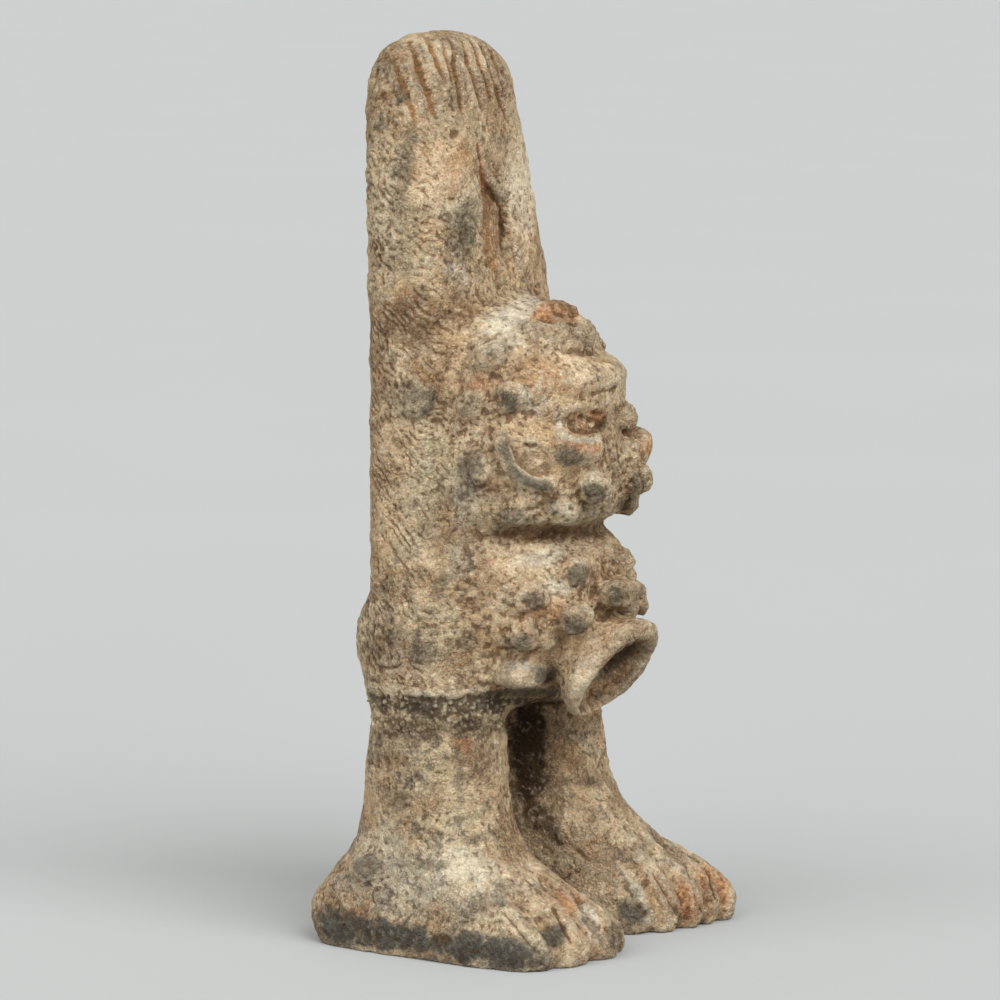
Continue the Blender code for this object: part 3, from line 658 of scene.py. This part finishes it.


# Stains and painted shade and highlights: name, point, half size across and up, turn and strength
TINTS = [
    ("soot", 404, 160, 11, 38, 8, 0.6), ("soot", 386, 64, 10, 12, 0, 0.5),
    ("soot", 398, 92, 5, 14, -15, 0.5), ("soot", 467, 225, 11, 24, 0, 0.55),
    ("soot", 413, 398, 22, 22, 0, 0.55), ("soot", 571, 456, 19, 10, 8, 0.7),
    ("soot", 508, 399, 10, 11, 0, 0.85), ("soot", 470, 408, 10, 12, 0, 0.45),
    ("soot", 473, 464, 12, 14, 20, 0.8), ("soot", 594, 491, 12, 8, 0, 0.9),
    ("soot", 514, 514, 14, 8, 0, 0.6), ("soot", 489, 355, 6, 9, 0, 0.35), ("soot", 636, 482, 8, 12, 0, 0.6),
    ("soot", 625, 506, 8, 9, 0, 0.6), ("soot", 579, 573, 13, 9, 0, 0.8), ("soot", 533, 600, 13, 8, 0, 0.75),
    ("soot", 575, 624, 11, 8, 0, 0.85), ("soot", 522, 642, 13, 8, 0, 0.7),
    ("soot", 616, 594, 9, 12, 0, 0.75), ("soot", 638, 594, 8, 9, 0, 0.4), ("soot", 546, 674, 13, 8, 0, 0.7),
    ("soot", 520, 693, 40, 5, 0, 0.8), ("soot", 385, 640, 20, 24, 0, 0.4),
    ("soot", 428, 655, 20, 16, 0, 0.4), ("soot", 396, 590, 14, 22, 0, 0.3),
    ("soot", 440, 590, 14, 22, 0, 0.35), ("soot", 470, 640, 12, 26, 0, 0.3),
    ("soot", 395, 800, 16, 12, 0, 0.5), ("soot", 459, 786, 5, 22, 0, 0.5),
    ("soot", 480, 724, 34, 12, 0, 0.6), ("soot", 424, 715, 18, 7, 0, 0.6),
    ("soot", 366, 866, 14, 14, 0, 0.8), ("soot", 433, 865, 15, 7, 0, 0.65),
    ("soot", 437, 836, 9, 7, 0, 0.5), ("soot", 475, 838, 11, 5, 0, 0.45),
    ("soot", 470, 905, 22, 14, 0, 0.45), ("soot", 340, 926, 26, 20, 8, 0.75),
    ("soot", 395, 938, 40, 14, 6, 0.75), ("soot", 455, 948, 40, 16, 8, 0.85),
    ("soot", 510, 952, 34, 16, 8, 0.85), ("soot", 555, 936, 11, 14, 0, 0.8),
    ("soot", 614, 934, 12, 14, 0, 0.6), ("soot", 633, 912, 16, 18, 0, 0.75),
    ("soot", 500, 885, 14, 8, 0, 0.35), ("soot", 392, 905, 18, 10, 0, 0.3),
    ("rust", 556, 311, 27, 11, 0, 1.0), ("rust", 586, 418, 24, 10, 0, 0.25),
    ("rust", 598, 416, 8, 5, 0, 1.0), ("rust", 582, 448, 22, 7, 0, 0.75), ("rust", 647, 447, 7, 9, 0, 0.9),
    ("rust", 631, 428, 7, 10, 0, 0.5), ("rust", 688, 902, 10, 20, -15, 0.95),
    ("rust", 706, 880, 8, 20, -10, 0.85), ("rust", 722, 888, 7, 20, 0, 0.9),
    ("rust", 571, 902, 22, 13, 20, 0.6), ("rust", 592, 928, 12, 9, 0, 0.5),
    ("rust", 462, 743, 10, 9, 0, 0.75), ("rust", 546, 378, 14, 14, 0, 0.35),
    ("rust", 480, 385, 24, 10, 0, 0.4), ("rust", 486, 482, 10, 6, 0, 0.5),
    ("rust", 500, 565, 24, 12, 0, 0.3), ("rust", 548, 610, 24, 12, 0, 0.4),
    ("rust", 620, 665, 18, 12, -40, 0.4), ("rust", 543, 700, 30, 6, 0, 0.5),
    ("rust", 432, 230, 14, 22, 0, 0.3), ("chalk_and_highlight", 512, 314, 38, 12, -33, 0.9),
    ("chalk_and_highlight", 508, 338, 34, 14, -20, 0.35), ("chalk_and_highlight", 522, 195, 14, 56, -4, 0.45),
    ("chalk_and_highlight", 452, 272, 7, 9, 0, 0.7), ("chalk_and_highlight", 463, 276, 5, 9, 0, 0.6),
    ("chalk_and_highlight", 590, 921, 8, 22, -22, 0.85), ("chalk_and_highlight", 640, 898, 7, 22, -28, 0.7),
    ("chalk_and_highlight", 535, 398, 20, 16, 0, 0.45), ("chalk_and_highlight", 560, 425, 6, 14, 0, 0.5),
    ("chalk_and_highlight", 532, 462, 18, 11, 30, 0.35), ("rust", 536, 462, 12, 8, 30, 0.25),
    ("chalk_and_highlight", 560, 345, 20, 12, 0, 0.35), ("chalk_and_highlight", 536, 560, 30, 10, -10, 0.5),
    ("chalk_and_highlight", 556, 588, 18, 8, 0, 0.45), ("chalk_and_highlight", 440, 190, 26, 34, 0, 0.3),
    ("chalk_and_highlight", 430, 150, 20, 16, 0, 0.25), ("chalk_and_highlight", 524, 666, 22, 6, 0, 0.6),
    ("chalk_and_highlight", 590, 655, 10, 22, 40, 0.4), ("chalk_and_highlight", 562, 510, 12, 7, 0, 0.5),
    ("chalk_and_highlight", 465, 500, 14, 30, 0, 0.4), ("chalk_and_highlight", 460, 560, 16, 30, 0, 0.35),
    ("chalk_and_highlight", 655, 860, 24, 10, 10, 0.3), ("brown_dirt_and_shade", 410, 318, 48, 26, 0, 0.65),
    # The brown tint is earth in the band below the dome and on the slot's floor, and painted shade under
    # the masses, in the neck crease, the leg recess, the snout's hollow, under the body and along the left
    # edge.
    ("brown_dirt_and_shade", 460, 312, 26, 18, -20, 0.6), ("brown_dirt_and_shade", 545, 532, 60, 9, 0, 0.8),
    ("brown_dirt_and_shade", 500, 490, 30, 10, 0, 0.4), ("brown_dirt_and_shade", 530, 760, 16, 60, 0, 0.9),
    ("brown_dirt_and_shade", 556, 760, 12, 50, 0, 0.5), ("brown_dirt_and_shade", 612, 655, 22, 16, -40, 0.8),
    ("brown_dirt_and_shade", 373, 330, 8, 40, 0, 0.5), ("brown_dirt_and_shade", 373, 450, 6, 80, 0, 0.4),
    ("brown_dirt_and_shade", 560, 500, 36, 8, 0, 0.4), ("brown_dirt_and_shade", 600, 470, 16, 12, 0, 0.3),
    # The darkest tint, listed from here on, is painted shade: the leg recess, under the body, the neck
    # crease, the snout's hollow, the crater, and under the pellets and the crescent.
    ("brown_dirt_and_shade", 380, 770, 10, 40, 0, 0.3), ("painted_shade", 530, 752, 18, 62, 0, 1.0),
    ("painted_shade", 545, 820, 10, 30, -30, 0.7), ("painted_shade", 530, 702, 34, 4, 0, 0.9),
    ("painted_shade", 545, 534, 60, 5, 0, 0.45), ("painted_shade", 577, 629, 7, 4, 0, 0.9),
    ("painted_shade", 617, 661, 24, 9, -42, 0.75), ("painted_shade", 534, 607, 12, 4, 0, 0.5),
    ("painted_shade", 580, 585, 10, 4, 0, 0.5), ("painted_shade", 594, 498, 10, 4, 0, 0.6), ("painted_shade", 474, 484, 12, 4, 0, 0.5),
    ("painted_shade", 513, 411, 10, 4, 0, 0.5), ("painted_shade", 545, 678, 8, 6, 0, 0.5),
    ("slate", 400, 936, 60, 13, 8, 0.8), ("slate", 480, 950, 60, 15, 8, 0.8),
    ("slate", 342, 928, 26, 19, 10, 0.8), ("slate", 330, 904, 10, 14, 0, 0.4),
    ("slate", 555, 936, 11, 14, 0, 0.4), ("slate", 632, 914, 14, 14, 0, 0.35),
    ("slate", 530, 482, 16, 5, 20, 0.5), ("painted_shade", 600, 426, 7, 4, 0, 0.5),
    ("painted_shade", 540, 486, 18, 3, 8, 0.5), ("painted_shade", 514, 474, 6, 8, -40, 0.5),
    ("sooty", 430, 840, 90, 60, 0, 1.0), ("sooty", 470, 900, 90, 40, 0, 1.0),
    ("sooty", 430, 750, 60, 50, 0, 1.0), ("sooty", 400, 620, 50, 60, 0, 0.9),
    ("sooty", 470, 620, 30, 70, 0, 0.8), ("sooty", 590, 790, 30, 60, 0, 0.7),
    ("sooty", 400, 120, 26, 90, 0, 0.8), ("sooty", 455, 240, 30, 50, 0, 0.9),
    ("sooty", 660, 880, 40, 40, 0, 0.7), ("sooty", 620, 500, 30, 30, 0, 0.7),
    ("sooty", 440, 470, 30, 60, 0, 0.5), ("chalk_and_highlight", 430, 880, 90, 38, 0, 0.5),
    ("moss", 430, 880, 80, 40, 0, 0.5), ("chalk_and_highlight", 372, 850, 34, 26, 0, 0.4),
    ("chalk_and_highlight", 345, 884, 16, 24, 0, 0.45), ("soot", 440, 730, 60, 14, 0, 0.55),
    ("soot", 400, 752, 26, 16, 0, 0.4), ("brown_dirt_and_shade", 470, 760, 30, 24, 0, 0.4),
    ("worn", 443, 170, 34, 34, 0, 1.0), ("worn", 523, 190, 16, 60, -4, 1.0),
    ("worn", 470, 870, 60, 26, 10, 0.7), ("worn", 560, 375, 56, 30, 0, 0.8),
    ("worn", 550, 575, 60, 40, 0, 0.7), ("worn", 590, 660, 40, 40, 0, 0.6),
    ("worn", 540, 440, 70, 50, 0, 0.5), ("worn", 500, 320, 40, 16, -30, 0.5),
    ("worn", 440, 600, 16, 40, 0, 0.4), ("worn", 650, 870, 26, 14, 10, 0.6),
    ("worn", 493, 235, 7, 44, -5, 0.9), ("moss", 425, 490, 36, 46, 0, 0.35),
    ("moss", 440, 620, 34, 50, 0, 0.4), ("moss", 400, 230, 24, 60, 0, 0.35),
    ("moss", 460, 225, 20, 34, 0, 0.5), ("moss", 430, 760, 30, 40, 0, 0.35),
    ("moss", 420, 900, 50, 30, 0, 0.3), ("moss", 600, 500, 30, 14, 0, 0.3),
    ("moss", 555, 740, 20, 30, 0, 0.25), ("moss", 486, 356, 16, 14, 0, 0.3),
]


def tint_clay(clay):
    """Lay the stains, the painted shade and the painted highlights down where the lists say."""
    for name, across, down, wide, high, turn, strength in TINTS:
        clay.tint(name, strength * clay.blot(across, down, wide, high, turn, 0.55, 2, 0.35))
    clay.tint("soot", 0.85 * clay.line(CRESCENT, 0.0036, 3.0, 0.1))
    # Painted highlights: the inner edge of the crescent's bowl, the crater's lower lip and the top edge of
    # the ridge under the broken stub.
    bowl_highlight = clay.line([(513, 456), (519, 468), (531, 477), (545, 480), (552, 472)], 0.0014, 2.0, 0.1)
    clay.tint("chalk_and_highlight", 0.7 * bowl_highlight)
    clay.tint("chalk_and_highlight", clay.line([(563, 437), (576, 440), (590, 440), (602, 437)], 0.0014, 2.0, 0.1))
    clay.tint("chalk_and_highlight", 0.9 * clay.line([(538, 321), (552, 325), (567, 326)], 0.0016, 2.0, 0.2))
    clay.tint("brown_dirt_and_shade", 0.6 * clay.line(SLOT_FLOOR, 0.0050, 3.0, 0.1, 1, 0.6))


def weigh(clay):
    """Say how much each part may be thinned: what the camera sees, least."""
    hidden = 1 - smooth_step(clay.views[0][3], -0.25, 0.1)
    group = clay.body.vertex_groups.new(name="thin")
    weights = np.round(0.04 + 0.50 * hidden, 2)
    for weight in np.unique(weights):
        group.add(np.nonzero(weights == weight)[0].tolist(), float(weight), "REPLACE")


def hollows(clay):
    """Keep where the clay is hollow or proud, in fine and in broad."""
    soft = clay.place.copy()
    for _ in range(4):
        soft = clay.mean(soft)
    fine = np.einsum("ij,ij->i", clay.place - soft, clay.normal)
    for _ in range(30):
        soft = clay.mean(soft)
    broad = np.einsum("ij,ij->i", clay.place - soft, clay.normal)
    clay.keep("fine", np.clip(fine / 0.00025, -1, 1))
    clay.keep("broad", np.clip(broad / 0.0011, -1, 1))


def thin_out(clay):
    """Thin the faces, stand the soles flat and keep inside the solid's box."""
    for name, values in clay.tints.items():
        clay.keep(name, values)
    hollows(clay)
    body = clay.body
    faces = sum(len(face.vertices) - 2 for face in body.data.polygons)
    weigh(clay)
    share = min(1.0, TRIANGLES / faces)
    modify(body, "DECIMATE", ratio=share, vertex_group="thin", vertex_group_factor=1.0)
    body.vertex_groups.clear()
    clay = Clay(body)
    low, high = (np.array(corner) for corner in cad_box)
    clay.place = np.clip(clay.place, low, high)
    clay.place[clay.place[:, 2] < 0.0006, 2] = 0.0
    clay.renew()


# Materials

class Socket:
    """A value in a material's node tree that can be worked with in Python."""

    def __init__(self, tree, socket):
        self.tree = tree
        self.socket = socket

    def math(self, operation, first, second=0.0):
        return self.tree.node("ShaderNodeMath", {"operation": operation}, {0: first, 1: second})

    def __add__(self, other):
        return self.math("ADD", self, other)

    def __radd__(self, other):
        return self.math("ADD", other, self)

    def __sub__(self, other):
        return self.math("SUBTRACT", self, other)

    def __rsub__(self, other):
        return self.math("SUBTRACT", other, self)

    def __mul__(self, other):
        return self.math("MULTIPLY", self, other)

    def __rmul__(self, other):
        return self.math("MULTIPLY", other, self)

    def apart(self, other):
        return self.tree.node("ShaderNodeMath", {"operation": "ABSOLUTE"}, {0: self - other})

    def above(self, low, high):
        """0 below low, 1 above high, and a soft ramp between."""
        return self.tree.node("ShaderNodeMapRange", {"interpolation_type": "SMOOTHSTEP"},
                              {0: self, 1: low, 2: high, 3: 0.0, 4: 1.0})

    def below(self, low, high):
        """1 below low, 0 above high, and a soft ramp between."""
        return 1 - self.above(low, high)


class Tree:
    """The node tree of one material."""

    def __init__(self, name):
        self.material = bpy.data.materials.new(name)
        self.material.use_nodes = True
        self.nodes = self.material.node_tree.nodes
        self.links = self.material.node_tree.links
        self.shader = self.nodes["Principled BSDF"]
        self.places = self.node("ShaderNodeTexCoord", {}, {}, "Object")

    def node(self, kind, settings, values, output=0):
        """Add a node: its settings first, then its values or links."""
        made = self.nodes.new(kind)
        for name, value in settings.items():
            setattr(made, name, value)
        for name, value in values.items():
            self.feed(made.inputs[name], value)
        return Socket(self, made.outputs[output])

    def feed(self, target, value):
        if isinstance(value, Socket):
            self.links.new(value.socket, target)
        else:
            target.default_value = value

    def noise(self, size, detail=3.0, rough=0.6, seed=0.0, warp=0.0):
        spread = {"Vector": self.places, "Scale": 1 / size, "Detail": detail, "Roughness": rough, "W": seed,
                  "Distortion": warp}
        return self.node("ShaderNodeTexNoise", {"noise_dimensions": "4D"}, spread)

    def cells(self, size, seed=0.0):
        spread = {"Vector": self.places, "Scale": 1 / size, "W": seed, "Randomness": 1.0}
        return self.node("ShaderNodeTexVoronoi", {"voronoi_dimensions": "4D"}, spread)

    def mask(self, name):
        return self.node("ShaderNodeAttribute", {"attribute_name": name}, {}, "Fac")

    def mix(self, amount, under, over, way="MIX"):
        return self.node("ShaderNodeMix", {"data_type": "RGBA", "blend_type": way, "clamp_factor": True},
                         {0: amount, 6: under, 7: over}, 2)


def colour(red, green, blue):
    """A shader colour from the 0 to 255 scale of a screen."""
    return tuple((value / 255) ** 2.2 for value in (red, green, blue)) + (1.0,)


def old_clay():
    """Coarse buff earthenware, worn, stained and full of grains, with painted shade in its hollows and pits
    and painted highlights on its crumbs, swells and lips.
    """
    tree = Tree("old fired clay")
    large = tree.noise(0.055, 2.0, 0.5, 1.0)
    middle = tree.noise(0.013, 4.0, 0.62, 5.0)
    patch = tree.noise(0.022, 4.0, 0.6, 21.0)
    crumb = tree.noise(0.0034, 5.0, 0.70, 9.0, 0.8)
    grit = tree.noise(0.0012, 2.0, 0.7, 14.0)
    torn = patch.above(0.44, 0.56) * (1 - tree.mask("worn") * 0.8)
    pits = tree.cells(0.0070, 3.0).below(0.10, 0.22) * torn
    spotty = tree.noise(0.0100, 4.0, 0.68, 41.0)
    crease = tree.noise(0.0062, 4.0, 0.62, 33.0, 1.0).apart(0.5).below(0.006, 0.030) * torn
    hollow = tree.mask("fine")
    broad = tree.mask("broad")
    shade = tree.mix(large.above(0.38, 0.62), colour(216, 183, 142), colour(224, 197, 158))
    shade = tree.mix(middle.above(0.50, 0.72) * 0.28, shade, colour(234, 216, 182))
    shade = tree.mix(patch.above(0.50, 0.66) * 0.48, shade, colour(206, 152, 102))
    shade = tree.mix(patch.below(0.36, 0.47) * 0.65, shade, colour(176, 164, 134))
    shade = tree.mix(middle.below(0.32, 0.48) * 0.28, shade, colour(176, 136, 92))
    # Painted shade and highlight from the clay's broad shape: darker brown in the broad hollows, paler on
    # the broad swells.
    shade = tree.mix((0.0 - broad).above(0.10, 0.9) * 0.35, shade, colour(146, 100, 62))
    shade = tree.mix(broad.above(0.25, 0.9) * 0.24, shade, colour(236, 218, 186))
    uneven = crumb * 0.9 + middle * 1.1 - 1.0

    def lay(shade, name, over, amount=1.0):
        """Lay a tint over, its edge broken up by the clay's own grain; the tints are stains, painted shade
        and painted highlights.
        """
        return tree.mix((tree.mask(name) * 1.2 + uneven).above(0.0, 1.0) * amount, shade, over)

    # Brown: earth below the dome and on the slot's floor, and painted shade under the masses, in creases
    # and recesses and along the slot's right wall.
    shade = lay(shade, "brown_dirt_and_shade", colour(130, 96, 62), 0.85)
    shade = lay(shade, "moss", colour(174, 164, 132), 0.7)
    shade = lay(shade, "tan", colour(190, 140, 92), 0.9)
    shade = lay(shade, "umber", colour(150, 112, 76), 0.8)
    shade = lay(shade, "rust", colour(204, 142, 94), 0.8)
    # Pale chalky deposits, and painted highlights on the crater's lip, the ridge top and in the crescent's
    # bowl.
    shade = lay(shade, "chalk_and_highlight", colour(238, 226, 200), 0.8)
    shade = lay(shade, "soot", colour(110, 100, 82), 0.88)
    bare = 1 - tree.mask("soot") * 0.9
    sooty = spotty.above(0.53, 0.62) * (tree.mask("sooty") * 0.65 + 0.08)
    shade = tree.mix(sooty, shade, colour(112, 106, 92))
    shade = lay(shade, "mortar", colour(116, 108, 92), 0.95)
    shade = lay(shade, "slate", colour(84, 84, 78), 0.85)
    # Painted shade, near black brown: the deepest recesses and creases and the undersides of the pellets.
    shade = lay(shade, "painted_shade", colour(62, 46, 30), 0.85)
    # Painted highlight on the fine ridges and painted shade in the fine hollows, less of it in the combed
    # grooves.
    shade = tree.mix(hollow.above(0.15, 0.9) * bare * 0.30, shade, colour(242, 226, 196))
    painted_hollow_shade = (0.0 - hollow).above(0.10, 0.8) * (0.58 - tree.mask("tan") * 0.45)
    shade = tree.mix(painted_hollow_shade, shade, colour(98, 68, 40))
    coarse = torn * 0.6 + 0.5 - tree.mask("worn") * 0.3
    # Painted highlight on the crumbs' tops and painted shade between them, from the same noise as the bump.
    shade = tree.mix(crumb.above(0.55, 0.72) * coarse * bare * 0.12, shade, colour(240, 220, 186))
    shade = tree.mix(crumb.below(0.30, 0.46) * coarse * 0.24, shade, colour(104, 72, 46))
    shade = tree.mix(0.35, shade, ((grit - 0.5) * 2.2 + 0.5).above(0.0, 1.0), "OVERLAY")
    # Painted shadow in the pits and creases that the bump sinks.
    shade = tree.mix(pits * 0.6, shade, colour(84, 62, 42))
    shade = tree.mix(crease * 0.5, shade, colour(88, 64, 42))
    shade = tree.mix(tree.mask("quartz") * 0.8, shade, colour(226, 208, 160))
    tree.feed(tree.shader.inputs["Base Color"], shade)
    tree.shader.inputs["Roughness"].default_value = 0.93
    tree.shader.inputs["Specular IOR Level"].default_value = 0.25
    height = crumb * coarse + grit * 0.19 - pits * 0.12 - crease * 0.10
    bump = tree.node("ShaderNodeBump", {}, {"Strength": 1.0, "Distance": 0.0135, "Height": height})
    tree.feed(tree.shader.inputs["Normal"], bump)
    return tree.material


def studio_floor():
    tree = Tree("pale paper")
    soft = tree.noise(0.5, 1.0, 0.4, 2.0)
    shade = tree.mix(soft, colour(166, 168, 167), colour(169, 171, 170))
    tree.feed(tree.shader.inputs["Base Color"], shade)
    tree.shader.inputs["Roughness"].default_value = 0.95
    tree.shader.inputs["Specular IOR Level"].default_value = 0.1
    return tree.material


# The studio

def sun(name, place, strength, spread):
    """A broad, even light from one direction."""
    bpy.ops.object.light_add(type="SUN", location=place)
    light = bpy.context.object
    light.name = name
    light.data.energy = strength
    light.data.angle = radians(spread)
    light.rotation_euler = (-Vector(place)).to_track_quat("-Z", "Y").to_euler()
    return light


def light_from_above(tree):
    """A room that is brightest overhead."""
    towards = tree.nodes.new("ShaderNodeTexCoord")
    parts = tree.nodes.new("ShaderNodeSeparateXYZ")
    spread = tree.nodes.new("ShaderNodeMapRange")
    spread.interpolation_type = "SMOOTHSTEP"
    for name, value in (("From Min", -0.2), ("From Max", 0.9), ("To Min", 0.46), ("To Max", 0.62)):
        spread.inputs[name].default_value = value
    tree.links.new(towards.outputs["Generated"], parts.inputs["Vector"])
    tree.links.new(parts.outputs["Z"], spread.inputs["Value"])
    tree.links.new(spread.outputs["Result"], tree.nodes["Background"].inputs["Strength"])
    tree.nodes["Background"].inputs["Color"].default_value = (1.0, 1.0, 1.0, 1.0)


def studio():
    bpy.ops.object.camera_add(location=EYE, rotation=SIGHT.to_euler())
    camera = bpy.context.object
    camera.name = "camera"
    camera.data.lens = LENS
    camera.data.sensor_width = SENSOR
    camera.data.clip_end = 200
    bpy.context.scene.camera = camera
    bpy.context.scene.view_settings.view_transform = "Standard"
    world = bpy.data.worlds.new("soft room")
    world.use_nodes = True
    light_from_above(world.node_tree)
    bpy.context.scene.world = world
    sun("key softbox", (-0.42, -1.15, 1.10), 3.0, 50)
    sun("side softbox", (-1.2, 0.30, 0.8), 1.85, 60)
    bpy.ops.mesh.primitive_plane_add(size=80, location=(0, 0, -0.0002))
    floor = bpy.context.object
    floor.name = "floor"
    floor.data.materials.append(studio_floor())


studio()
body = rough_body()
clay = Clay(body)
rub(clay)
widen_snout(clay)
join(body, pellets(clay) + [snout_rim()])
modify(body, "REMESH", mode="VOXEL", voxel_size=FINE)
modify(body, "SMOOTH", iterations=2)
clay = Clay(body)
clay.fillet(2, 16)
press_forms(clay)
comb(clay)
slot(clay)
toes(clay)
mortar(clay)
wear(clay)
tint_clay(clay)
thin_out(clay)
body.data.materials.clear()
body.data.materials.append(old_clay())
only(body)
bpy.ops.object.shade_smooth()
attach(body, "root")
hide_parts("figure")
